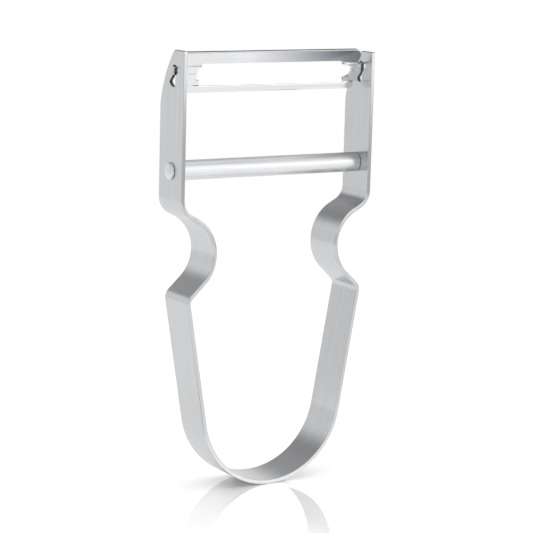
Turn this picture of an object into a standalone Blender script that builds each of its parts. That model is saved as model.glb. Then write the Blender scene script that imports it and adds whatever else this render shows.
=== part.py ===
"""Swivel peeler of bent steel strip.

Three pieces, as on the real tool: a frame bent from one strip (loop handle, two finger
notches and two upright cheeks), a slotted blade whose end tongues rock in hourglass holes
through the cheeks, and a round cross rod riveted through both cheeks.

Frame: +Z up the tool, X across the blade, +Y towards the food. The origin is under the
middle of the loop, so the tool stands on z = 0. Every size is in millimetres below and is
turned into metres by MM.
"""
import math

import bmesh
import bpy
from mathutils import Matrix, Vector

MM = 0.001

# Strip that the frame is bent from
STRIP_WIDTH = 11.5
STRIP_THICKNESS = 1.0
EDGE_BREAK = 0.14            # deburred edge of the strip

# Frame outline, on the middle of the strip's thickness, from the loop upwards
LOOP_RADIUS = 19.9           # bottom of the handle
ARM_LEAN = 9.6               # degrees that each arm leans outwards, upwards from the loop
KNUCKLE_Z = 49.4             # corner below each finger notch
KNUCKLE_RADIUS = 2.4
NOTCH_RISE = 13.5            # knuckle corner up to the notch's corner
NOTCH_DEPTH = 16.5           # notch's corner, before rounding, inwards from the cheek
NOTCH_RADIUS = 10.0
SHOULDER_RISE = 8.7          # notch's corner up to the corner under the cheek
SHOULDER_RADIUS = 4.5
CHEEK_HEIGHT = 38.4          # shoulder corner up to the top
HEAD_INSIDE = 53.4           # between the two cheeks

# Cheeks
CHEEK_TOP_FLAT = 4.9         # flat top, from the back edge
CHEEK_TOP_ROUND = 0.9        # corner where the flat top turns down to the food side
CHEEK_NOSE_RADIUS = 28.0     # long curved cut-away on the food side
CHEEK_NOSE_DROP = 12.7       # its height

# Pivot of the blade
PIVOT_BELOW_TOP = 5.6
PIVOT_BACK = 0.85            # behind the middle of the strip's width
TONGUE_WIDTH = 4.8
TONGUE_PROUD = 0.4           # reach past the cheek's outer face, with the blade centred
TONGUE_CORNER = 0.5
TONGUE_ROOT = 0.3            # inner corner between plate and tongue
PIVOT_CLEARANCE = 0.25       # round the tongue, on every side
BLADE_SWING = 20.0           # degrees that the blade rocks to each side
BLADE_LEAN = 22.0            # degrees that the blade's top and both holes lean back

# Blade, measured in its own sheet: u runs down the sheet and v towards the food
BLADE_THICKNESS = 0.8
BLADE_END_GAP = 1.5          # plate's end to the cheek, with the blade centred
BLADE_SLIDE = 0.4            # the loose blade lies this far towards the left cheek
BLADE_CORNER = 1.6
CROWN_MARGIN = 0.3           # flat crown on each side of the tongue
FLANK_ANGLE = 15.0           # degrees that both flanks turn back from the crown
SLOT_UPPER = 3.5             # pivot up to the slot's upper edge
SLOT_LOWER = 1.6             # pivot down to the slot's lower edge
UPPER_STRIP = 3.2            # sheet above the slot
LOWER_STRIP = 2.9            # sheet below the slot
SLOT_CORNER = 0.7
SLOT_WEB = 1.2               # sheet that closes the slot's right end
SLOT_NOSE_RIGHT = 3.4        # lower, rounded nose at that end, beyond the full opening
SLOT_NOSE_LEFT = 0.8         # the same at the left end
SLOT_NOSE_FLARE = 0.12       # share of its reach over which it narrows
SLOT_NOSE_HEIGHT = 3.4
SLOT_NOSE_RISE = 0.3         # middle of the nose above the pivot
SLOT_NOSE_ROUND = 1.6
GRIND_WIDTH = 1.3            # ground bevel along each slot edge
EDGE_LAND = 0.12             # thickness that is left at a ground edge

# Cross rod
ROD_DIAMETER = 5.0
ROD_ABOVE_SHOULDER = 9.5
ROD_CHAMFER = 0.25
TENON_DIAMETER = 3.0
RIVET_HEAD_DIAMETER = 4.4
RIVET_HEAD_HEIGHT = 0.5
RIVET_RIM_HEIGHT = 0.2
SEAT_GAP = 0.3               # between riveted faces

# Fineness of the round stretches
ARC_STEP = 5.0               # degrees
ROD_SIDES = 40
HEAD_RINGS = 4
TRIM = 1.5                   # spare length that a cutter takes off or runs past
ROUND_SHARE = 0.98           # most of a side that its rounded corners may take
CORNER_ANGLE = 50.0          # degrees past which an edge of the strip is broken
CREASE_ANGLE = 35.0          # degrees past which the rod's shading breaks

# Places that follow from the sizes
NOTCH_CORNER_Z = KNUCKLE_Z + NOTCH_RISE
SHOULDER_Z = NOTCH_CORNER_Z + SHOULDER_RISE
HEIGHT = SHOULDER_Z + CHEEK_HEIGHT
CHEEK_MIDDLE = (HEAD_INSIDE + STRIP_THICKNESS) / 2
CHEEK_OUTSIDE = HEAD_INSIDE / 2 + STRIP_THICKNESS
PIVOT_Z = HEIGHT - PIVOT_BELOW_TOP
ROD_Z = SHOULDER_Z + ROD_ABOVE_SHOULDER
CROWN_HALF = TONGUE_WIDTH / 2 + CROWN_MARGIN
PLATE_END = HEAD_INSIDE / 2 - BLADE_END_GAP
TONGUE_END = CHEEK_OUTSIDE + TONGUE_PROUD
BLADE_TOP = -SLOT_UPPER - UPPER_STRIP
BLADE_BOTTOM = SLOT_LOWER + LOWER_STRIP
SLOT_END = PLATE_END - SLOT_WEB - SLOT_NOSE_RIGHT


def clear_scene():
    for old in list(bpy.data.objects):
        bpy.data.objects.remove(old, do_unlink=True)


def steel(name, colour, roughness):
    """Bare stainless steel; only its tone and its polish differ from piece to piece."""
    material = bpy.data.materials.new(name)
    material.use_nodes = True
    shader = material.node_tree.nodes["Principled BSDF"]
    shader.inputs["Base Color"].default_value = (*colour, 1.0)
    shader.inputs["Metallic"].default_value = 1.0
    shader.inputs["Roughness"].default_value = roughness
    return material


def add_object(name, bm, material=None):
    """Turn a bmesh that was drawn in millimetres into an object in metres."""
    bmesh.ops.scale(bm, vec=(MM, MM, MM), verts=bm.verts)
    bmesh.ops.recalc_face_normals(bm, faces=bm.faces)
    mesh = bpy.data.meshes.new(name)
    bm.to_mesh(mesh)
    bm.free()
    if material:
        mesh.materials.append(material)
    piece = bpy.data.objects.new(name, mesh)
    bpy.context.collection.objects.link(piece)
    return piece


def arc(centre, radius, start, end, step=ARC_STEP):
    """Points of an arc in a plane, from one angle to another, in degrees."""
    count = max(2, math.ceil(abs(end - start) / step))
    angles = [math.radians(start + (end - start) * i / count) for i in range(count + 1)]
    return [(centre[0] + radius * math.cos(a), centre[1] + radius * math.sin(a)) for a in angles]


def rounded(corners, radii):
    """Polyline with its inner corners rounded; a round that doesn't fit takes what its sides allow."""
    points = [Vector(c) for c in corners]
    sides = [(b - a).length for a, b in zip(points, points[1:])]
    turns = []
    for before, corner, after in zip(points, points[1:], points[2:]):
        opening = (before - corner).angle(after - corner)
        turns.append(math.pi - opening)
    cuts = [radius * math.tan(turn / 2) for radius, turn in zip(radii, turns)]
    shares = []
    for i, own in enumerate(cuts):
        wanted_before = own + (cuts[i - 1] if i else 0.0)
        wanted_after = own + (cuts[i + 1] if i + 1 < len(cuts) else 0.0)
        before = ROUND_SHARE * sides[i] / wanted_before
        after = ROUND_SHARE * sides[i + 1] / wanted_after
        shares.append(min(1.0, before, after))
    path = [tuple(points[0])]
    for i, corner in enumerate(points[1:-1]):
        to_before = (points[i] - corner).normalized()
        to_after = (points[i + 2] - corner).normalized()
        reach = cuts[i] * shares[i]
        radius = reach / math.tan(turns[i] / 2)
        middle = corner + (to_before + to_after).normalized() * (radius / math.cos(turns[i] / 2))
        start = corner + to_before * reach - middle
        end = corner + to_after * reach - middle
        first = math.degrees(math.atan2(start.y, start.x))
        swept = math.degrees(math.atan2(start.x * end.y - start.y * end.x, start.dot(end)))
        path += arc(middle, radius, first, first + swept)
    return path + [tuple(points[-1])]


def prism(outline, depth, place):
    """Closed prism over a flat outline, from -depth to +depth; place(a, b, t) gives each point."""
    bm = bmesh.new()
    verts = [bm.verts.new(place(a, b, -depth)) for a, b in outline]
    base = bm.faces.new(verts)
    top = bmesh.ops.extrude_face_region(bm, geom=[base])["geom"]
    shift = Vector(place(0, 0, depth)) - Vector(place(0, 0, -depth))
    bmesh.ops.translate(bm, vec=shift, verts=[g for g in top if isinstance(g, bmesh.types.BMVert)])
    return bm


def across(y, z, x):
    """Outline in the side view of the tool, prism along X."""
    return (x, y, z)


def through(x, u, v):
    """Outline drawn on the blade's sheet, prism through the sheet; u runs down."""
    return (x, v, -u)


def section(u, v, x):
    """Outline of the blade's cross-section, prism along its length."""
    return (x, v, -u)


def cut(piece, name, bm, operation="DIFFERENCE"):
    """Shape a piece with a hidden cutter, by an exact Boolean that stays on the object."""
    tool = add_object(name, bm)
    tool.hide_render = True
    tool.display_type = "WIRE"
    tool.parent = piece
    modifier = piece.modifiers.new(name, "BOOLEAN")
    modifier.object = tool
    modifier.operation = operation
    modifier.solver = "EXACT"
    return tool


def frame_path():
    """Middle line of the strip from the top of one cheek, round the loop, to the other."""
    lean = math.radians(ARM_LEAN)
    loop_z = STRIP_THICKNESS / 2 + LOOP_RADIUS
    knuckle_x = LOOP_RADIUS / math.cos(lean) + (KNUCKLE_Z - loop_z) * math.tan(lean)
    foot = (LOOP_RADIUS * math.cos(lean), loop_z - LOOP_RADIUS * math.sin(lean))
    corners = [
        (CHEEK_MIDDLE, HEIGHT + TRIM),
        (CHEEK_MIDDLE, SHOULDER_Z),
        (CHEEK_MIDDLE - NOTCH_DEPTH, NOTCH_CORNER_Z),
        (knuckle_x, KNUCKLE_Z),
        foot,
    ]
    right = rounded(corners, [SHOULDER_RADIUS, NOTCH_RADIUS, KNUCKLE_RADIUS])[:-1]
    right += arc((0.0, loop_z), LOOP_RADIUS, -ARM_LEAN, -90.0)
    return right + [(-x, z) for x, z in reversed(right[:-1])]


def cheek_edge():
    """Finished top edge of a cheek in side view: flat, then a long curve down the food side."""
    back = -STRIP_WIDTH / 2
    front = STRIP_WIDTH / 2
    top = Vector((back + CHEEK_TOP_FLAT, HEIGHT))
    foot = Vector((front, HEIGHT - CHEEK_NOSE_DROP))
    half = (foot - top) / 2
    inward = Vector((half.y, -half.x)).normalized()
    centre = top + half + inward * math.sqrt(CHEEK_NOSE_RADIUS ** 2 - half.length_squared)
    first = math.degrees(math.atan2(top.y - centre.y, top.x - centre.x))
    last = math.degrees(math.atan2(foot.y - centre.y, foot.x - centre.x))
    overrun = math.degrees(TRIM / CHEEK_NOSE_RADIUS)
    nose = arc(centre, CHEEK_NOSE_RADIUS, first, last - overrun, ARC_STEP / 2)
    corner = rounded([(back - TRIM, HEIGHT), tuple(top), nose[1]], [CHEEK_TOP_ROUND])
    return corner[:-1] + nose[1:]


def cheek_trimmer():
    """Everything above the finished edge of both cheeks."""
    edge = cheek_edge()
    far = max(edge[-1][0], STRIP_WIDTH / 2) + TRIM
    outline = edge + [(far, edge[-1][1]), (far, HEIGHT + 2 * TRIM), (edge[0][0], HEIGHT + 2 * TRIM)]
    return prism(outline, CHEEK_OUTSIDE + TRIM, across)


def hourglass():
    """Hole in which a tongue rocks: two fans that meet at a waist on the pivot, leaning as it does."""
    side = BLADE_THICKNESS / 2 + PIVOT_CLEARANCE
    reach = math.hypot(TONGUE_WIDTH / 2, BLADE_THICKNESS / 2) + PIVOT_CLEARANCE
    swing = math.radians(BLADE_SWING)
    waist = side / math.cos(swing)
    spread = BLADE_SWING + math.degrees(math.asin(side / reach))
    fan = arc((0.0, 0.0), reach, 90 + spread, 90 - spread, ARC_STEP)
    outline = fan + [(waist, 0.0)] + [(-y, -z) for y, z in fan] + [(-waist, 0.0)]
    bm = prism(outline, CHEEK_OUTSIDE + TRIM, across)
    lean = Matrix.Rotation(math.radians(BLADE_LEAN), 4, "X")
    bmesh.ops.transform(bm, matrix=Matrix.Translation((0.0, -PIVOT_BACK, PIVOT_Z)) @ lean, verts=bm.verts)
    return bm


def rod_hole():
    radius = TENON_DIAMETER / 2 + SEAT_GAP
    return prism(arc((0.0, ROD_Z), radius, 0, 360, 360 / ROD_SIDES)[:-1], CHEEK_OUTSIDE + TRIM, across)


def make_frame(material):
    """Ribbon along the middle line, given the strip's thickness, then trimmed and pierced."""
    bm = bmesh.new()
    back = -STRIP_WIDTH / 2
    verts = [bm.verts.new((x, back, z)) for x, z in frame_path()]
    edges = [bm.edges.new(pair) for pair in zip(verts, verts[1:])]
    ribbon = bmesh.ops.extrude_edge_only(bm, edges=edges)["geom"]
    new = [g for g in ribbon if isinstance(g, bmesh.types.BMVert)]
    bmesh.ops.translate(bm, vec=(0, STRIP_WIDTH, 0), verts=new)
    frame = add_object("bent_strip_frame", bm, material)
    wall = frame.modifiers.new("strip thickness", "SOLIDIFY")
    wall.thickness = STRIP_THICKNESS * MM
    wall.offset = 0.0
    wall.use_even_offset = True
    cut(frame, "cheek_trimmer", cheek_trimmer())
    soften(frame, EDGE_BREAK)
    cut(frame, "hourglass_holes", hourglass())
    cut(frame, "rod_holes", rod_hole())
    return frame


def soften(piece, width):
    """Break the sharp edges that shearing leaves."""
    bevel = piece.modifiers.new("broken edges", "BEVEL")
    bevel.width = width * MM
    bevel.segments = 1
    bevel.limit_method = "ANGLE"
    bevel.angle_limit = math.radians(CORNER_ANGLE)
    bevel.use_clamp_overlap = True
    return bevel


def sheet_faces(u):
    """Rear and front face of the pressed sheet, u below the pivot, as v values."""
    half = BLADE_THICKNESS / 2
    if abs(u) <= CROWN_HALF:
        return -half, half
    flank = math.radians(FLANK_ANGLE)
    fall = (abs(u) - CROWN_HALF) * math.tan(flank)
    rise = half / math.cos(flank)
    return -rise - fall, rise - fall


def blade_section():
    """Cross-section of the pressed sheet: a flat crown and two flanks that turn back."""
    half = BLADE_THICKNESS / 2
    mitre = half * math.tan(math.radians(FLANK_ANGLE) / 2)
    top = BLADE_TOP - TRIM
    bottom = BLADE_BOTTOM + TRIM
    front = [(top, sheet_faces(top)[1]), (-CROWN_HALF - mitre, half),
             (CROWN_HALF + mitre, half), (bottom, sheet_faces(bottom)[1])]
    rear = [(bottom, sheet_faces(bottom)[0]), (CROWN_HALF - mitre, -half),
            (mitre - CROWN_HALF, -half), (top, sheet_faces(top)[0])]
    return front + rear


def both_ends(right, left):
    """Closed outline from two halves drawn alike, each from the middle line out and back to it."""
    return right + [(-x, u) for x, u in reversed(left[1:-1])]


def blade_blank():
    """Outline of the punched sheet: a plate with round corners and a tongue at each end."""
    half = TONGUE_WIDTH / 2
    corners = [
        (0.0, BLADE_TOP), (PLATE_END, BLADE_TOP), (PLATE_END, -half), (TONGUE_END, -half),
        (TONGUE_END, half), (PLATE_END, half), (PLATE_END, BLADE_BOTTOM), (0.0, BLADE_BOTTOM),
    ]
    radii = [BLADE_CORNER, TONGUE_ROOT, TONGUE_CORNER, TONGUE_CORNER, TONGUE_ROOT, BLADE_CORNER]
    half_blank = rounded(corners, radii)
    return both_ends(half_blank, half_blank)


def half_slot(reach):
    """One half of the slot, from the middle line to a nose of the given reach and back."""
    neck = SLOT_END + SLOT_NOSE_FLARE * reach
    tip = SLOT_END + reach
    upper = -SLOT_NOSE_RISE - SLOT_NOSE_HEIGHT / 2
    lower = -SLOT_NOSE_RISE + SLOT_NOSE_HEIGHT / 2
    corners = [
        (0.0, -SLOT_UPPER), (SLOT_END, -SLOT_UPPER), (neck, upper), (tip, upper),
        (tip, lower), (neck, lower), (SLOT_END, SLOT_LOWER), (0.0, SLOT_LOWER),
    ]
    radii = [SLOT_CORNER, SLOT_CORNER, SLOT_NOSE_ROUND, SLOT_NOSE_ROUND, SLOT_CORNER, SLOT_CORNER]
    return rounded(corners, radii)


def slot():
    """Slot that the peel passes through; its right nose reaches further than its left one."""
    return both_ends(half_slot(SLOT_NOSE_RIGHT), half_slot(SLOT_NOSE_LEFT))


def grind(edge, away, face):
    """Wedge that thins one slot edge to its land; it is ground from the rear (0) or front (1) face."""
    heel = edge + away * GRIND_WIDTH
    outward = 1 if face else -1
    land = sheet_faces(edge)[1 - face] + outward * EDGE_LAND
    heel_v = sheet_faces(heel)[face]
    slope = (land - heel_v) / (edge - heel)
    past = edge - away * EDGE_LAND
    beyond = heel_v + outward * TRIM
    outline = [(past, land + slope * (past - edge)), (heel, heel_v), (heel, beyond), (past, beyond)]
    return prism(outline, SLOT_END, section)


def make_blade(material):
    """Pressed sheet, trimmed to its blank, slotted and ground, standing on its pivot."""
    bm = prism(blade_section(), TONGUE_END + TRIM, section)
    blade = add_object("swivel_blade", bm, material)
    depth = TRIM - min(sheet_faces(BLADE_TOP)[0], sheet_faces(BLADE_BOTTOM)[0])
    cut(blade, "blade_blank", prism(blade_blank(), depth, through), "INTERSECT")
    cut(blade, "blade_slot", prism(slot(), depth, through))
    cut(blade, "lower_grind", grind(SLOT_LOWER, 1, 0))
    cut(blade, "upper_grind", grind(-SLOT_UPPER, -1, 1))
    blade.location = (-BLADE_SLIDE * MM, -PIVOT_BACK * MM, PIVOT_Z * MM)
    blade.rotation_euler = (math.radians(BLADE_LEAN), 0.0, 0.0)
    return blade


def rod_profile():
    """Right half of the rod's turned profile as (x, radius), from the body out to the head's crown."""
    shoulder = HEAD_INSIDE / 2 - SEAT_GAP
    seat = CHEEK_OUTSIDE + SEAT_GAP
    profile = [
        (shoulder - ROD_CHAMFER, ROD_DIAMETER / 2),
        (shoulder, ROD_DIAMETER / 2 - ROD_CHAMFER),
        (shoulder, TENON_DIAMETER / 2),
        (seat, TENON_DIAMETER / 2),
        (seat, RIVET_HEAD_DIAMETER / 2),
    ]
    for i in range(HEAD_RINGS + 1):
        angle = math.radians(90) * i / HEAD_RINGS
        rise = RIVET_RIM_HEIGHT + (RIVET_HEAD_HEIGHT - RIVET_RIM_HEIGHT) * math.sin(angle)
        profile.append((seat + rise, RIVET_HEAD_DIAMETER / 2 * math.cos(angle)))
    return profile


def make_rod(material):
    """Turned rod with a tenon at each end, its tip upset to a low rivet head."""
    right = rod_profile()
    profile = [(-x, r) for x, r in reversed(right)] + right
    bm = bmesh.new()
    verts = [bm.verts.new((x, 0.0, r)) for x, r in profile]
    edges = [bm.edges.new(pair) for pair in zip(verts, verts[1:])]
    bmesh.ops.spin(bm, geom=verts + edges, axis=(1, 0, 0), cent=(0, 0, 0),
                   angle=math.tau, steps=ROD_SIDES, use_merge=True)
    bmesh.ops.remove_doubles(bm, verts=bm.verts, dist=MM)
    rod = add_object("cross_rod", bm, material)
    rod.location = (0.0, 0.0, ROD_Z * MM)
    rod.data.shade_smooth()
    rod.data.set_sharp_from_angle(angle=math.radians(CREASE_ANGLE))
    return rod


def main():
    clear_scene()
    make_frame(steel("brushed strip steel", (0.62, 0.63, 0.65), 0.32))
    make_blade(steel("polished blade steel", (0.70, 0.71, 0.73), 0.16))
    make_rod(steel("satin rod steel", (0.66, 0.67, 0.68), 0.26))


main()
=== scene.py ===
"""Look of the bent-strip swivel peeler.

The three CAD pieces are replaced by finer ones on the same lines: the strip is cut flat, its
edges are broken and then it is bent, as the real one is made, so its brushed grain follows it
round every bend. Lengths are in millimetres until a piece is finished, and metres after that.
"""
import math
from bisect import bisect_right

import bmesh
import bpy
from mathutils import Matrix, Vector


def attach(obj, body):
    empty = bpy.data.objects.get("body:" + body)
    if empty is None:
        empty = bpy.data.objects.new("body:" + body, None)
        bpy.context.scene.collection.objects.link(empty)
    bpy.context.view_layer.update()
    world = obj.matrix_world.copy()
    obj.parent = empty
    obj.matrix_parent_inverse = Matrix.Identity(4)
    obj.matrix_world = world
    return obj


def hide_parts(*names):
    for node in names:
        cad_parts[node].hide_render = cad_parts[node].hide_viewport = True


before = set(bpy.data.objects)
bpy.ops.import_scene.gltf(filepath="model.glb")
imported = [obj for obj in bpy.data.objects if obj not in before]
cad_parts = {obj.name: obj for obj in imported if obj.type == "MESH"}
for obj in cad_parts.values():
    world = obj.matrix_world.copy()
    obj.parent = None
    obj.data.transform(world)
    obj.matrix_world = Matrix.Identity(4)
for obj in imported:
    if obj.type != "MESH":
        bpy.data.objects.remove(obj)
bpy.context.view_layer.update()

MM = 0.001

# Strip and its middle line; its left end stands a little higher than HEIGHT and its right end lower
WIDTH = 11.5
THICKNESS = 1.0
HEIGHT = 110.0
LOOP_RADIUS = 19.9
ARM_LEAN = 9.6
CHEEK_MIDDLE = 27.2
CHEEK_OUTSIDE = 27.7
CHEEK_INSIDE = 26.7
SHOULDER_Z = 71.6
NOTCH_CORNER = (10.7, 62.9)
KNUCKLE_Z = 49.4
BEND_RADII = [4.5, 10.0, 2.4]
TOP_FLAT = 4.9
TOP_ROUND = 0.9
NOSE_RADIUS = 28.0
NOSE_DROP = 12.7
EDGE_BREAK = 0.13
SHEAR_DEPTH = 0.15
RISE_LEFT = 0.7
RISE_RIGHT = -0.4

# Blade and its pivot; the loose blade lies a little towards the left cheek
PIVOT = Vector((0.0, -0.85, 104.4))
BLADE_LEAN = 22.0
BLADE_SLIDE = 0.4
SWING = 20.0
BLADE_THICKNESS = 0.8
PLATE_RIGHT = 25.2
PLATE_LEFT = 25.7
PLATE_FOOT_LEFT = 25.0
CORNER_RIGHT = 2.2
CORNER_LEFT = 0.3
TONGUE_HALF = 2.4
TONGUE_END = 28.1
TONGUE_FOOT_RIGHT = 28.0
TONGUE_FOOT_LEFT = 26.3
STEP_OUTSIDE = -0.5
STEP_INSIDE = -0.3
TONGUE_ROOT = 0.3
CLEARANCE = 0.25
CROWN_HALF = 2.7
CROWN_ROUND = 1.6
FLANK = 15.0
FLANK_REACH = 6.0
BLADE_TOP = -6.9
BLADE_BOTTOM = 4.5
SLOT_TOP = -3.5
SLOT_BOTTOM = 1.6
SLOT_RIGHT = 24.0
SLOT_LEFT = 21.2
SLOT_END_RIGHT = 20.6
SLOT_END_LEFT = 20.3
SLOT_TAPER = 0.1
SLOT_ROUNDS_RIGHT = [0.7, 0.6, 1.6, 1.6, 0.3, 0.2]
SLOT_ROUNDS_LEFT = [0.2, 0.2, 0.5, 0.5, 0.3, 0.2]
GRIND_RIGHT = 22.3
GRIND_LEFT = 20.0
GRIND_WIDTH = 1.3
GRIND_HOLLOW = 0.7
GRIND_OVERRUN = 0.2
EDGE_LAND = 0.12
LINE_BELOW_SLOT = 2.1
LINE_HALF = 0.12
LINE_DEPTH = 0.03
NOSE_TOP = -2.0
NOSE_BOTTOM = 1.4
CREASES_RIGHT = [-1.7, -0.5]
CREASES_LEFT = [-2.6, -0.55]
CREASE_GAP = 0.2
CREASE_RUN = 1.0
CREASE_HALF = 0.08
CREASE_DEPTH = 0.07
BLADE_EDGE = 0.05
THROUGH = 1.0

# Cross rod
ROD_Z = 81.1
ROD_RADIUS = 2.5
ROD_CHAMFER = 0.25
TENON_RADIUS = 1.45
HEAD_RADIUS = 2.2
HEAD_END = 28.5
SEAT_LINE = 0.03

MOST_OF_A_SIDE = 0.98

# Half of a card of painted shade in metres, and the camera: degrees, metres, the sensor in mm, then pixels
CARD_REACH = 0.06
CAMERA_TILT = 10.24
CAMERA_ROLL = 1.54
CAMERA_TURN = 31.35
CAMERA_AIM = Vector((0, 0, 0.055))
CAMERA_DISTANCE = 0.51894
SENSOR_WIDTH = 36.0
PICTURE_WIDTH = 533
FOCAL_LENGTH = 2048.2
PICTURE_CENTRE = (264.35, 268.2)


# Drawing and cutting

def arc(centre, radius, start, end, step=3.0):
    """Points of an arc, from one angle to another, in degrees."""
    count = max(2, math.ceil(abs(end - start) / step))
    angles = [math.radians(start + (end - start) * i / count) for i in range(count + 1)]
    return [(centre[0] + radius * math.cos(a), centre[1] + radius * math.sin(a)) for a in angles]


def rounded(corners, radii, step=3.0):
    """Polyline with its inner corners rounded; a round that doesn't fit takes what its sides allow."""
    points = [Vector(c) for c in corners]
    sides = [(b - a).length for a, b in zip(points, points[1:])]
    turns = [math.pi - (a - b).angle(c - b) for a, b, c in zip(points, points[1:], points[2:])]
    cuts = [0.0] + [radius * math.tan(turn / 2) for radius, turn in zip(radii, turns)] + [0.0]
    path = [tuple(points[0])]
    for i, turn in enumerate(turns, 1):
        corner = points[i]
        one = (points[i - 1] - corner).normalized()
        two = (points[i + 1] - corner).normalized()
        room = min(sides[i - 1] / (cuts[i - 1] + cuts[i]), sides[i] / (cuts[i] + cuts[i + 1]))
        reach = cuts[i] * min(1.0, MOST_OF_A_SIDE * room)
        radius = reach / math.tan(turn / 2)
        middle = corner + (one + two).normalized() * (radius / math.cos(turn / 2))
        start = corner + one * reach - middle
        end = corner + two * reach - middle
        first = math.degrees(math.atan2(start.y, start.x))
        swept = math.degrees(math.atan2(start.x * end.y - start.y * end.x, start.dot(end)))
        path += arc(middle, radius, first, first + swept, step)
    return path + [tuple(points[-1])]


def closed(right, left):
    """Closed outline from two halves drawn alike, each from the middle line out and back to it."""
    return right + [(-x, y) for x, y in reversed(left[1:-1])]


def slab(outline, low, high):
    """Flat solid over an outline in the first two coordinates, from low to high in the third."""
    bm = bmesh.new()
    base = bm.faces.new([bm.verts.new((a, b, low)) for a, b in outline])
    made = bmesh.ops.extrude_face_region(bm, geom=[base])["geom"]
    raised = [g for g in made if isinstance(g, bmesh.types.BMVert)]
    bmesh.ops.translate(bm, vec=(0, 0, high - low), verts=raised)
    bmesh.ops.recalc_face_normals(bm, faces=bm.faces)
    return bm


def placed(bm, matrix):
    bmesh.ops.transform(bm, matrix=matrix, verts=bm.verts)
    bmesh.ops.recalc_face_normals(bm, faces=bm.faces)
    return bm


def loose(bm):
    mesh = bpy.data.meshes.new("draft")
    bm.to_mesh(mesh)
    bm.free()
    obj = bpy.data.objects.new("draft", mesh)
    bpy.context.collection.objects.link(obj)
    return obj


def carved(bm, cutters, edge=0.0, segments=3):
    """The solid less its cutters, with its sharp edges rolled over by the given width."""
    work = loose(bm)
    tools = [loose(c) for c in cutters]
    for tool in tools:
        boolean = work.modifiers.new("cut", "BOOLEAN")
        boolean.object = tool
        boolean.operation = "DIFFERENCE"
        boolean.solver = "EXACT"
    if edge:
        bevel = work.modifiers.new("edge", "BEVEL")
        bevel.width = edge
        bevel.segments = segments
        bevel.limit_method = "ANGLE"
        bevel.angle_limit = math.radians(40)
    done = bmesh.new()
    done.from_mesh(work.evaluated_get(bpy.context.evaluated_depsgraph_get()).to_mesh())
    bmesh.ops.remove_doubles(done, verts=done.verts, dist=1e-3)
    bmesh.ops.dissolve_degenerate(done, dist=1e-3, edges=done.edges)
    for obj in [work, *tools]:
        bpy.data.objects.remove(obj, do_unlink=True)
    return done


def guarded(lengths, margin=0.15):
    """The bends' stations, with one more just inside each end of every flat, so that it shades flat."""
    stations = list(lengths[1:-1])
    for one, two in zip(lengths, lengths[1:]):
        if two - one > 5 * margin:
            stations += [one + margin, two - margin]
    return stations


def sliced(bm, stations):
    """Cut across the first coordinate at each station, so that the sheet can bend there."""
    for s in stations:
        geom = bm.verts[:] + bm.edges[:] + bm.faces[:]
        bmesh.ops.bisect_plane(bm, geom=geom, dist=1e-5, plane_co=(s, 0, 0), plane_no=(1, 0, 0))
    return bm


class Line:
    """Middle line of a bent sheet: a place and a normal for every length along it."""

    def __init__(self, points):
        self.points = [Vector(p) for p in points]
        steps = [(b - a) for a, b in zip(self.points, self.points[1:])]
        self.lengths = [0.0]
        for step in steps:
            self.lengths.append(self.lengths[-1] + step.length)
        ways = [step.normalized() for step in steps]
        mixed = [ways[0]] + [(a + b).normalized() for a, b in zip(ways, ways[1:])] + [ways[-1]]
        self.normals = [Vector((-w.y, w.x)) for w in mixed]

    def at(self, s, t):
        """Point at length s, offset by t to the left of the way along the line."""
        i = min(max(bisect_right(self.lengths, s) - 1, 0), len(self.points) - 2)
        part = (s - self.lengths[i]) / (self.lengths[i + 1] - self.lengths[i])
        normal = self.normals[i].lerp(self.normals[i + 1], min(max(part, 0.0), 1.0)).normalized()
        return self.points[i].lerp(self.points[i + 1], part) + normal * t


def label(bm, grain_axis, scale=0.1):
    """UV in centimetres on the flat sheet: V along the grain, on the given axis, and U across it."""
    uv = bm.loops.layers.uv.new("grain")
    for face in bm.faces:
        for loop in face.loops:
            place = loop.vert.co
            loop[uv].uv = ((place[1 - grain_axis] + place.z) * scale, place[grain_axis] * scale)


def finished(name, bm, body, node, material):
    """Object in metres, smooth, riding on its body in place of a CAD node."""
    bmesh.ops.scale(bm, vec=(MM, MM, MM), verts=bm.verts)
    bmesh.ops.recalc_face_normals(bm, faces=bm.faces)
    mesh = bpy.data.meshes.new(name)
    bm.to_mesh(mesh)
    bm.free()
    mesh.materials.append(material)
    mesh.shade_smooth()
    piece = bpy.data.objects.new(name, mesh)
    bpy.context.collection.objects.link(piece)
    weights = piece.modifiers.new("flat faces stay flat", "WEIGHTED_NORMAL")
    weights.keep_sharp = True
    weights.weight = 90
    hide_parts(node)
    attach(piece, body)
    return piece


# Materials

def linear(code):
    """Linear colour from an sRGB hex code."""
    parts = [int(code[i:i + 2], 16) / 255 for i in (0, 2, 4)]
    return [p / 12.92 if p <= 0.04045 else ((p + 0.055) / 1.055) ** 2.4 for p in parts] + [1.0]


def add(tree, kind, sockets=(), **settings):
    """A node with its settings; each socket gets a value, or a link from another socket."""
    node = tree.nodes.new("ShaderNode" + kind)
    for key, value in settings.items():
        setattr(node, key, value)
    for key, value in dict(sockets).items():
        if isinstance(value, bpy.types.NodeSocket):
            tree.links.new(value, node.inputs[key])
        else:
            node.inputs[key].default_value = value
    return node


def bare_steel(name):
    """New bare metal, with the default IOR; its tree and its shader."""
    material = bpy.data.materials.new(name)
    material.use_nodes = True
    shader = material.node_tree.nodes["Principled BSDF"]
    shader.inputs["Metallic"].default_value = 1.0
    return material, material.node_tree, shader


def streaks(tree, across, along, detail):
    """Noise drawn out along V, with so many grains a centimetre across the sheet and along it."""
    uv = add(tree, "UVMap", uv_map="grain").outputs["UV"]
    fitted = add(tree, "Mapping", {"Vector": uv, "Scale": (across, along, 1.0)}).outputs["Vector"]
    noise = add(tree, "TexNoise", {"Vector": fitted, "Scale": 1.0, "Detail": detail, "Roughness": 0.65})
    return noise.outputs["Fac"]


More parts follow.
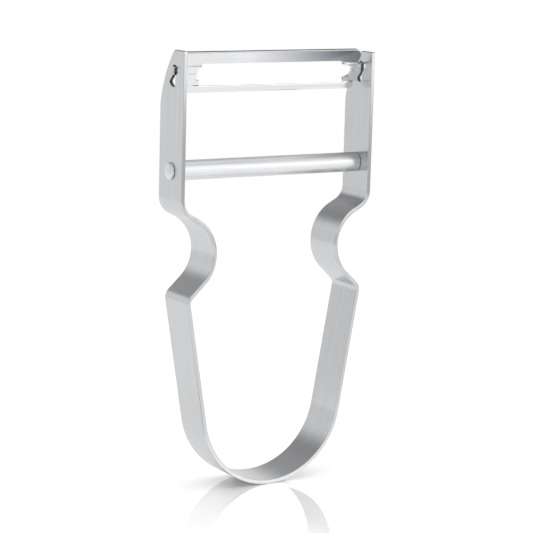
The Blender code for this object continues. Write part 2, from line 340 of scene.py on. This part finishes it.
def spread(tree, value, low, high):
    """The noise's middle range, stretched from one number to another."""
    sockets = {"Value": value, "From Min": 0.3, "From Max": 0.7, "To Min": low, "To Max": high}
    return add(tree, "MapRange", sockets).outputs["Result"]


def tint(tree, shader, value, dark, light):
    """Colour between two tones of the same steel."""
    ramp = add(tree, "ValToRGB", {"Fac": spread(tree, value, 0.0, 1.0)})
    ramp.color_ramp.elements[0].color = linear(dark)
    ramp.color_ramp.elements[1].color = linear(light)
    tree.links.new(ramp.outputs["Color"], shader.inputs["Base Color"])


def darken_sheared_and_hole_shade(tree, shader):
    """Sheared faces are torn across the grain and reflect little; in the holes their dark is painted shade.
    """
    colour = shader.inputs["Base Color"].links[0].from_socket
    sheared_and_hole_shade = add(tree, "Attribute", attribute_name="sheared_and_hole_shade").outputs["Fac"]
    # 606163 is about a fifth of a brushed face's colour: the torn faces' own matt tone, and painted shade
    # in the pivot holes.
    sockets = {"Factor": sheared_and_hole_shade, 6: colour, 7: linear("606163")}
    dull_and_shaded = add(tree, "Mix", sockets, data_type="RGBA").outputs[2]
    tree.links.new(dull_and_shaded, shader.inputs["Base Color"])


def rough(tree, shader, value, low, high):
    tree.links.new(spread(tree, value, low, high), shader.inputs["Roughness"])


def scratch(tree, shader, value, strength):
    """Fine relief of the grain, a tenth of a millimetre at full strength."""
    bump = add(tree, "Bump", {"Height": value, "Strength": strength, "Distance": 0.0001})
    tree.links.new(bump.outputs["Normal"], shader.inputs["Normal"])


def follow_grain(tree, shader, amount):
    """Blur reflections across the grain and hardly along it, as brushed and drawn steel does."""
    tangent = add(tree, "Tangent", direction_type="UV_MAP", uv_map="grain")
    tree.links.new(tangent.outputs["Tangent"], shader.inputs["Tangent"])
    shader.inputs["Anisotropic"].default_value = amount


def brushed_strip():
    """Stainless strip brushed along its length: it mirrors along the grain and smears across it.

    The real scratches are about 0.03 mm wide; these are 0.1 mm, so that they show in a picture.
    """
    material, tree, shader = bare_steel("brushed stainless strip")
    fine = streaks(tree, 100.0, 0.3, 4.0)
    broad = streaks(tree, 14.0, 0.5, 2.0)
    both = add(tree, "Mix", {"Factor": 0.2, "A": fine, "B": broad}, data_type="FLOAT").outputs["Result"]
    tint(tree, shader, both, "BDBEC1", "D1D2D3")
    # Torn ends and pivot-hole walls go darker: their own matt tone, and in the holes painted shade.
    darken_sheared_and_hole_shade(tree, shader)
    rough(tree, shader, both, 0.24, 0.17)
    scratch(tree, shader, fine, 0.06)
    follow_grain(tree, shader, 0.92)
    return material


def polished_blade():
    """Blade sheet, ground and buffed almost to a mirror, with a faint trace of the polishing belt.

    The belt's real lines are under 0.02 mm wide; these are 0.15 mm, so that they show.
    """
    material, tree, shader = bare_steel("polished blade steel")
    fine = streaks(tree, 66.0, 0.4, 3.0)
    tint(tree, shader, fine, "DCDDDF", "E4E5E7")
    rough(tree, shader, fine, 0.15, 0.11)
    scratch(tree, shader, fine, 0.02)
    follow_grain(tree, shader, 0.5)
    return material


def drawn_bar():
    """Round bar as it leaves the drawing die: bright, with die lines about 0.15 mm apart along it."""
    material, tree, shader = bare_steel("drawn bar steel")
    fine = streaks(tree, 66.0, 0.25, 3.0)
    tint(tree, shader, fine, "CBCCCD", "F2F2F3")
    rough(tree, shader, fine, 0.38, 0.26)
    scratch(tree, shader, fine, 0.2)
    follow_grain(tree, shader, 0.9)
    return material


# Pieces

def strip_line():
    """Middle line of the strip, from the top of the left cheek round the loop to the right one."""
    lean = math.radians(ARM_LEAN)
    loop_z = THICKNESS / 2 + LOOP_RADIUS
    knuckle_x = LOOP_RADIUS / math.cos(lean) + (KNUCKLE_Z - loop_z) * math.tan(lean)
    foot = (LOOP_RADIUS * math.cos(lean), loop_z - LOOP_RADIUS * math.sin(lean))
    corners = [(CHEEK_MIDDLE, HEIGHT), (CHEEK_MIDDLE, SHOULDER_Z), NOTCH_CORNER,
               (knuckle_x, KNUCKLE_Z), foot]
    right = rounded(corners, BEND_RADII, 2.5)[:-1] + arc((0.0, loop_z), LOOP_RADIUS, -ARM_LEAN, -90.0, 2.5)
    return Line([(-x, z) for x, z in right] + list(reversed(right[:-1])))


def cheek_end(rise):
    """Trimmed end of the strip as (distance from the top, y), from the back edge to the food edge."""
    top = Vector((-rise, TOP_FLAT - WIDTH / 2))
    foot = Vector((NOSE_DROP, WIDTH / 2))
    half = (foot - top) / 2
    inward = Vector((half.y, -half.x)).normalized()
    centre = top + half + inward * math.sqrt(NOSE_RADIUS ** 2 - half.length_squared)
    first = math.degrees(math.atan2(top.y - centre.y, top.x - centre.x))
    last = math.degrees(math.atan2(foot.y - centre.y, foot.x - centre.x))
    nose = arc(centre, NOSE_RADIUS, first, last, 1.5)
    return rounded([(-rise, -WIDTH / 2), tuple(top), nose[1]], [TOP_ROUND], 10)[:-1] + nose[1:]


def hourglass():
    """Pivot hole as wide as the tongue's swing, leaning with the blade, as (distance from the top, y)."""
    side = BLADE_THICKNESS / 2 + CLEARANCE
    reach = math.hypot(TONGUE_HALF, BLADE_THICKNESS / 2) + CLEARANCE
    spread_angle = SWING + math.degrees(math.asin(side / reach))
    waist = side / math.cos(math.radians(SWING))
    fan = arc((0.0, 0.0), reach, 90 + spread_angle, 90 - spread_angle, 6)
    outline = fan + [(waist, 0.0)] + [(-y, -z) for y, z in fan] + [(-waist, 0.0)]
    turned = [Matrix.Rotation(math.radians(BLADE_LEAN), 2) @ Vector(point) for point in outline]
    return [(HEIGHT - PIVOT.z - z, y + PIVOT.y) for y, z in turned]


def mark_sheared_and_hole_shade(bm, length):
    """Mark hole walls and strip ends, which the press leaves torn and matt; in the holes, painted shade."""
    sheared_and_hole_shade = bm.faces.layers.float.new("sheared_and_hole_shade")
    for face in bm.faces:
        middle = face.calc_center_median()
        at_end = middle.x < SHEAR_DEPTH - RISE_LEFT or middle.x > length + RISE_RIGHT - SHEAR_DEPTH
        from_top = min(middle.x, length - middle.x)
        on_hole = math.hypot(from_top - HEIGHT + PIVOT.z, middle.y - PIVOT.y) < TONGUE_HALF + 1.0
        face[sheared_and_hole_shade] = float(at_end or (on_hole and abs(face.normal.z) < 0.5))


def make_strip(material):
    line = strip_line()
    length = line.lengths[-1]
    outline = cheek_end(RISE_LEFT) + [(length - s, y) for s, y in reversed(cheek_end(RISE_RIGHT))]
    hole = hourglass()
    cutters = [slab(hole, -THICKNESS, THICKNESS),
               slab([(length - s, y) for s, y in hole], -THICKNESS, THICKNESS)]
    bm = carved(slab(outline, -THICKNESS / 2, THICKNESS / 2), cutters, EDGE_BREAK)
    label(bm, 0)
    # The faces marked here go darker later: torn ends, and painted shade on the pivot-hole walls.
    mark_sheared_and_hole_shade(bm, length)
    sliced(bm, guarded(line.lengths))
    for vert in bm.verts:
        s, y, t = vert.co
        x, z = line.at(s, t)
        vert.co = (x, y, z)
    return finished("frame_strip", bm, "handle", "bent_strip_frame", material)


def half_blank(plate_end, plate_foot, corner, tongue_foot):
    """Half of the punched sheet's outline: the plate with its round corners and one stepped tongue."""
    corners = [(0.0, BLADE_TOP), (plate_end, BLADE_TOP), (plate_end, -TONGUE_HALF),
               (TONGUE_END, -TONGUE_HALF), (TONGUE_END, STEP_OUTSIDE), (tongue_foot, STEP_INSIDE),
               (tongue_foot, TONGUE_HALF), (plate_foot, TONGUE_HALF), (plate_foot, BLADE_BOTTOM),
               (0.0, BLADE_BOTTOM)]
    radii = [corner, TONGUE_ROOT, 0.4, 0.3, 0.1, 0.4, TONGUE_ROOT, 1.0]
    return rounded(corners, radii, 8)


def half_slot(top_end, bottom_end, tip, radii):
    """Half of the peel slot: it ends at one place above and at another below, with a nose between."""
    corners = [(0.0, SLOT_TOP), (top_end, SLOT_TOP), (top_end + SLOT_TAPER, NOSE_TOP), (tip, NOSE_TOP),
               (tip, NOSE_BOTTOM), (bottom_end + SLOT_TAPER, NOSE_BOTTOM), (bottom_end, SLOT_BOTTOM),
               (0.0, SLOT_BOTTOM)]
    return rounded(corners, radii, 8)


def wedge(outline):
    """Cutter along the slot from its (u, v) section."""
    turn = Matrix(((1, 0, 0, 0), (0, 0, 1, 0), (0, -1, 0, 0), (0, 0, 0, 1)))
    return placed(slab([(u, -v) for u, v in outline], -GRIND_LEFT, GRIND_RIGHT), turn)


def grind(edge, way, run_out):
    """Hollow-ground slot edge: way 1 cuts downwards on the camera side, way -1 upwards on the food side."""
    half = BLADE_THICKNESS / 2
    end = GRIND_WIDTH + 0.1
    section = [(-GRIND_OVERRUN, half - 0.05), (0.0, half - EDGE_LAND), (GRIND_HOLLOW, 0.0),
               (GRIND_WIDTH, run_out - half), (end, -half), (end, -THROUGH), (-GRIND_OVERRUN, -THROUGH)]
    return wedge([(edge + way * u, way * v) for u, v in section])


def grinding_line(u):
    """Fine line that the wheel leaves below the cutting edge."""
    half = BLADE_THICKNESS / 2
    return wedge([(u - LINE_HALF, -half), (u, LINE_DEPTH - half), (u + LINE_HALF, -half),
                  (u + LINE_HALF, -THROUGH), (u - LINE_HALF, -THROUGH)])


def crease(u, start, end):
    """Shallow line that the press leaves beside the rib between the slot and a tongue."""
    depth = CREASE_DEPTH - BLADE_THICKNESS / 2
    one = u - CREASE_HALF
    two = u + CREASE_HALF
    return slab([(one, start), (two, start), (two, end), (one, end)], -THROUGH, depth)


def make_blade(material):
    """Sheet drawn flat as (u down, x, v to the food side), slotted and ground, then pressed."""
    half = BLADE_THICKNESS / 2
    blank = closed(half_blank(PLATE_RIGHT, PLATE_RIGHT, CORNER_RIGHT, TONGUE_FOOT_RIGHT),
                   half_blank(PLATE_LEFT, PLATE_FOOT_LEFT, CORNER_LEFT, TONGUE_FOOT_LEFT))
    slot = closed(half_slot(SLOT_END_RIGHT, GRIND_RIGHT, SLOT_RIGHT, SLOT_ROUNDS_RIGHT),
                  half_slot(SLOT_END_LEFT, GRIND_LEFT, SLOT_LEFT, SLOT_ROUNDS_LEFT))
    outline = [(u, x) for x, u in blank]
    opening = [(u, x) for x, u in slot]
    creases = [crease(u, SLOT_RIGHT + CREASE_GAP, PLATE_RIGHT + CREASE_RUN) for u in CREASES_RIGHT]
    creases += [crease(u, -PLATE_LEFT - CREASE_RUN, -SLOT_LEFT - CREASE_GAP) for u in CREASES_LEFT]
    cutters = [slab(opening, -THROUGH, THROUGH), grind(SLOT_BOTTOM, 1, 0.05),
               grinding_line(SLOT_BOTTOM + LINE_BELOW_SLOT), grind(SLOT_TOP, -1, 0.03), *creases]
    bm = carved(slab(outline, -half, half), cutters, BLADE_EDGE, 2)
    label(bm, 1)
    flank = math.radians(FLANK)
    out = CROWN_HALF + FLANK_REACH * math.cos(flank)
    back = -FLANK_REACH * math.sin(flank)
    corners = [(-out, back), (-CROWN_HALF, 0.0), (CROWN_HALF, 0.0), (out, back)]
    line = Line(rounded(corners, [CROWN_ROUND, CROWN_ROUND], 3))
    start = line.lengths[-1] / 2
    sliced(bm, [s - start for s in guarded(line.lengths)])
    lean = Matrix.Translation(PIVOT) @ Matrix.Rotation(math.radians(BLADE_LEAN), 4, "X")
    for vert in bm.verts:
        w, x, v = vert.co
        u, v = line.at(w + start, v)
        vert.co = lean @ Vector((x - BLADE_SLIDE, v, -u))
    return finished("blade_sheet", bm, "blade", "swivel_blade", material)


def turned(profile, steps=72):
    """Solid of revolution about X from (x, radius) points that start and end on the axis."""
    bm = bmesh.new()
    verts = [bm.verts.new((x, 0.0, r)) for x, r in profile]
    edges = [bm.edges.new(pair) for pair in zip(verts, verts[1:])]
    bmesh.ops.spin(bm, geom=verts + edges, cent=(0, 0, 0), axis=(1, 0, 0), angle=math.tau, steps=steps,
                   use_merge=True)
    bmesh.ops.remove_doubles(bm, verts=bm.verts, dist=1e-4)
    return bm


def label_round(bm):
    """UV in centimetres on a turned solid: U round it and V along it, or flat on its end faces."""
    uv = bm.loops.layers.uv.new("grain")
    bmesh.ops.recalc_face_normals(bm, faces=bm.faces)
    for face in bm.faces:
        middle = face.calc_center_median()
        base = math.atan2(middle.y, middle.z)
        for loop in face.loops:
            x, y, z = loop.vert.co
            if abs(face.normal.x) > 0.8:
                loop[uv].uv = (y * 0.1, z * 0.1)
                continue
            turn = (math.atan2(y, z) - base + math.pi) % math.tau - math.pi
            loop[uv].uv = ((base + turn) * ROD_RADIUS * 0.1, x * 0.1)


def make_rod(material):
    """Rod between the cheeks, with its two riveted heads on their outer faces."""
    body_end = CHEEK_INSIDE - SEAT_LINE
    seat = CHEEK_OUTSIDE + SEAT_LINE
    chamfer = [(body_end - ROD_CHAMFER, ROD_RADIUS), (body_end - 0.08, ROD_RADIUS - 0.07),
               (body_end, ROD_RADIUS - ROD_CHAMFER)]
    tenon = [(body_end, TENON_RADIUS), (seat, TENON_RADIUS)]
    head = [(seat, HEAD_RADIUS - 0.06), (seat + 0.12, HEAD_RADIUS), (seat + 0.3, HEAD_RADIUS - 0.04),
            (seat + 0.48, HEAD_RADIUS - 0.2), (seat + 0.6, HEAD_RADIUS - 0.55), (HEAD_END - 0.05, 1.0),
            (HEAD_END, 0.3), (HEAD_END, 0.0)]
    right = chamfer + tenon + head
    bm = turned([(-x, r) for x, r in reversed(right)] + right)
    label_round(bm)
    bmesh.ops.translate(bm, vec=(0, 0, ROD_Z), verts=bm.verts)
    return finished("cross_bar", bm, "handle", "cross_rod", material)


make_strip(brushed_strip())
make_blade(polished_blade())
make_rod(drawn_bar())


# Floor, light and camera

def floor_material():
    """White acrylic that mirrors the loop near its foot.

    It glows a little, and least where the shadow lies.
    """
    material = bpy.data.materials.new("white acrylic table")
    material.use_nodes = True
    tree = material.node_tree
    tree.nodes.clear()
    spot = add(tree, "TexCoord").outputs["Object"]
    paths = add(tree, "LightPath").outputs
    far = add(tree, "VectorMath", {0: spot}, operation="LENGTH").outputs["Value"]
    share = add(tree, "MapRange", {"Value": far, "From Min": 0.012, "From Max": 0.085, "To Min": 0.44,
                                   "To Max": 0.0}, interpolation_type="SMOOTHSTEP").outputs["Result"]
    matt = add(tree, "BsdfDiffuse", {"Color": linear("FBFBFB")}).outputs["BSDF"]
    glow = add(tree, "Emission", {"Color": linear("FFFFFF"), "Strength": 1.0}).outputs["Emission"]
    seen = add(tree, "Math", {0: paths["Is Camera Ray"], 1: paths["Is Glossy Ray"]}, operation="MAXIMUM")
    near = add(tree, "MapRange", {"Value": far, "From Min": 0.01, "From Max": 0.06, "To Min": 0.2,
                                  "To Max": 0.65})
    part = add(tree, "Math", {0: seen.outputs["Value"], 1: near.outputs["Result"]}, operation="MULTIPLY")
    plain = add(tree, "MixShader", {0: part.outputs["Value"], 1: matt, 2: glow}).outputs["Shader"]
    mirror = add(tree, "BsdfGlossy", {"Color": (1, 1, 1, 1), "Roughness": 0.0}).outputs["BSDF"]
    both = add(tree, "MixShader", {0: share, 1: plain, 2: mirror}).outputs["Shader"]
    add(tree, "OutputMaterial", {"Surface": both})
    return material


def make_floor():
    bm = bmesh.new()
    bmesh.ops.create_circle(bm, cap_ends=True, segments=96, radius=0.4)
    mesh = bpy.data.meshes.new("floor")
    bm.to_mesh(mesh)
    bm.free()
    mesh.materials.append(floor_material())
    floor = bpy.data.objects.new("floor", mesh)
    bpy.context.collection.objects.link(floor)


def painted_reflection_material():
    """Card of painted shade, pale to dark blue-grey over 40 mm.

    The blade mirrors it as a soft dark fall, a painted reflection. Its underside is clear,
    and the table's own mirror looks through it.
    """
    material = bpy.data.materials.new("card of painted reflection shade")
    material.use_nodes = True
    tree = material.node_tree
    shader = tree.nodes["Principled BSDF"]
    along = add(tree, "SeparateXYZ", {"Vector": add(tree, "TexCoord").outputs["Object"]}).outputs["X"]
    level = add(tree, "MapRange", {"Value": along, "From Min": -0.055, "From Max": -0.015})
    tone = add(tree, "ValToRGB", {"Fac": level.outputs["Result"]})
    tone.color_ramp.elements[0].color = linear("F1F2F4")
    tone.color_ramp.elements[1].color = linear("3D4652")
    tree.links.new(tone.outputs["Color"], shader.inputs["Base Color"])
    shader.inputs["Roughness"].default_value = 1.0
    shader.inputs["Specular IOR Level"].default_value = 0.0
    below = add(tree, "NewGeometry").outputs["Backfacing"]
    clear = add(tree, "BsdfTransparent").outputs["BSDF"]
    sided = add(tree, "MixShader", {0: below, 1: shader.outputs["BSDF"], 2: clear}).outputs["Shader"]
    tree.links.new(sided, tree.nodes["Material Output"].inputs["Surface"])
    return material


def make_reflection_card(name, material, place, turn, start):
    """Card of painted shade on the table beside the tool: only the steel sees it, and it casts no shadow.
    """
    bm = bmesh.new()
    bmesh.ops.create_grid(bm, x_segments=1, y_segments=1, size=0.5)
    bmesh.ops.scale(bm, vec=(CARD_REACH - start, CARD_REACH, 1.0), verts=bm.verts)
    bmesh.ops.translate(bm, vec=((CARD_REACH + start) / 2, 0.0, 0.0), verts=bm.verts)
    mesh = bpy.data.meshes.new(name)
    bm.to_mesh(mesh)
    bm.free()
    mesh.materials.append(material)
    card = bpy.data.objects.new(name, mesh)
    bpy.context.collection.objects.link(card)
    card.location = place
    card.rotation_euler = (0, 0, math.radians(turn))
    card.visible_camera = False
    card.visible_diffuse = False
    card.visible_shadow = False


def make_light(name, place, aim, size, radiance, glossy=True):
    """Soft box of the given brightness, as the steel sees it."""
    lamp = bpy.data.lights.new(name, "AREA")
    lamp.shape = "RECTANGLE"
    lamp.size, lamp.size_y = size
    lamp.energy = radiance * math.pi * size[0] * size[1]
    obj = bpy.data.objects.new(name, lamp)
    bpy.context.collection.objects.link(obj)
    obj.location = place
    obj.rotation_mode = "QUATERNION"
    obj.rotation_quaternion = (Vector(aim) - Vector(place)).to_track_quat("-Z", "Y")
    obj.visible_glossy = glossy
    obj.visible_camera = False


# Brightness of the room by height, as (direction's z from -1 to 1 put on 0 to 1, value)
TENT = [(0.0, 1.1), (0.45, 1.1), (0.5, 1.05), (0.62, 1.06), (0.65, 1.02), (0.68, 0.92), (0.71, 0.74),
        (0.735, 0.46), (0.765, 0.17), (0.79, 0.13), (0.83, 0.34), (0.87, 0.82), (0.94, 0.85), (1.0, 0.85)]


def make_world():
    """White for the camera. The steel sees a pale room with a dark band about 35 degrees up.

    The room is also a little darker at the far left and low in front.
    """
    world = bpy.data.worlds.new("studio")
    bpy.context.scene.world = world
    world.use_nodes = True
    tree = world.node_tree
    tree.nodes.clear()
    way = add(tree, "SeparateXYZ", {"Vector": add(tree, "TexCoord").outputs["Generated"]}).outputs
    level = add(tree, "MapRange", {"Value": way["Z"], "From Min": -1.0}).outputs["Result"]
    tent = add(tree, "ValToRGB", {"Fac": level})
    ramp = tent.color_ramp.elements
    while len(ramp) < len(TENT):
        ramp.new(0.5)
    for stop, (position, value) in zip(ramp, TENT):
        stop.position = position
        stop.color = (value, value, value, 1)
    left = add(tree, "MapRange", {"Value": way["X"], "From Min": -0.60, "From Max": -0.48, "To Min": 0.78})
    low = add(tree, "MapRange", {"Value": way["Z"], "From Min": 0.3, "From Max": 0.0}).outputs["Result"]
    fore = add(tree, "MapRange", {"Value": way["Y"], "From Min": -0.2, "From Max": -0.7, "To Max": 0.42})
    dusk = add(tree, "Math", {0: low, 1: fore.outputs["Result"]}, operation="MULTIPLY").outputs["Value"]
    front = add(tree, "Math", {0: 1.0, 1: dusk}, operation="SUBTRACT").outputs["Value"]
    shade = add(tree, "Math", {0: left.outputs["Result"], 1: front}, operation="MULTIPLY")
    path = add(tree, "LightPath").outputs
    seen = add(tree, "Math", {0: path["Is Camera Ray"], 1: path["Is Singular Ray"]}, operation="MAXIMUM")
    sockets = {0: tent.outputs["Color"], "Scale": shade.outputs["Value"]}
    room = add(tree, "VectorMath", sockets, operation="SCALE").outputs["Vector"]
    colour = add(tree, "Mix", {"Factor": seen.outputs["Value"], 6: room, 7: (1, 1, 1, 1)},
                 data_type="RGBA").outputs[2]
    back = add(tree, "Background", {"Color": colour})
    add(tree, "OutputWorld", {"Surface": back.outputs["Background"]})


def make_camera():
    """Camera fitted to the photograph: its turn, tilt and roll about a point on the tool's axis."""
    tilt = Matrix.Rotation(math.radians(CAMERA_TILT), 3, "X")
    roll = Matrix.Rotation(math.radians(CAMERA_ROLL), 3, "Y")
    turn = (tilt @ roll @ Matrix.Rotation(math.radians(CAMERA_TURN), 3, "Z")).transposed()
    right, look, up = turn.col
    camera = bpy.data.objects.new("camera", bpy.data.cameras.new("camera"))
    bpy.context.collection.objects.link(camera)
    stand = Matrix.Translation(CAMERA_AIM - CAMERA_DISTANCE * look)
    camera.matrix_world = stand @ Matrix((right, up, -look)).transposed().to_4x4()
    camera.data.sensor_width = SENSOR_WIDTH
    camera.data.lens = FOCAL_LENGTH / PICTURE_WIDTH * SENSOR_WIDTH
    camera.data.shift_x = (PICTURE_WIDTH / 2 - PICTURE_CENTRE[0]) / PICTURE_WIDTH
    camera.data.shift_y = (PICTURE_CENTRE[1] - PICTURE_WIDTH / 2) / PICTURE_WIDTH
    bpy.context.scene.camera = camera


make_floor()
# The cards are painted shade that only the steel sees: the blade mirrors them as its dark fall to the
# right.
graded = painted_reflection_material()
make_reflection_card("right reflection card", graded, (0.112, -0.025, 0.001), 0, -0.06)
make_reflection_card("left reflection card", graded, (-0.066, -0.025, 0.001), 180, -0.03)
make_light("key", (0.55, -0.85, 0.37), (0, 0, 0.05), (0.9, 0.8), 1.0)
make_light("fill", (-0.9, -0.6, 0.45), (0, 0, 0.05), (0.6, 0.6), 1.0)
make_light("table wash", (0, 0, 1.2), (0, 0, 0), (1.6, 1.6), 1.6, glossy=False)
make_world()
make_camera()
bpy.context.scene.view_settings.view_transform = "Standard"
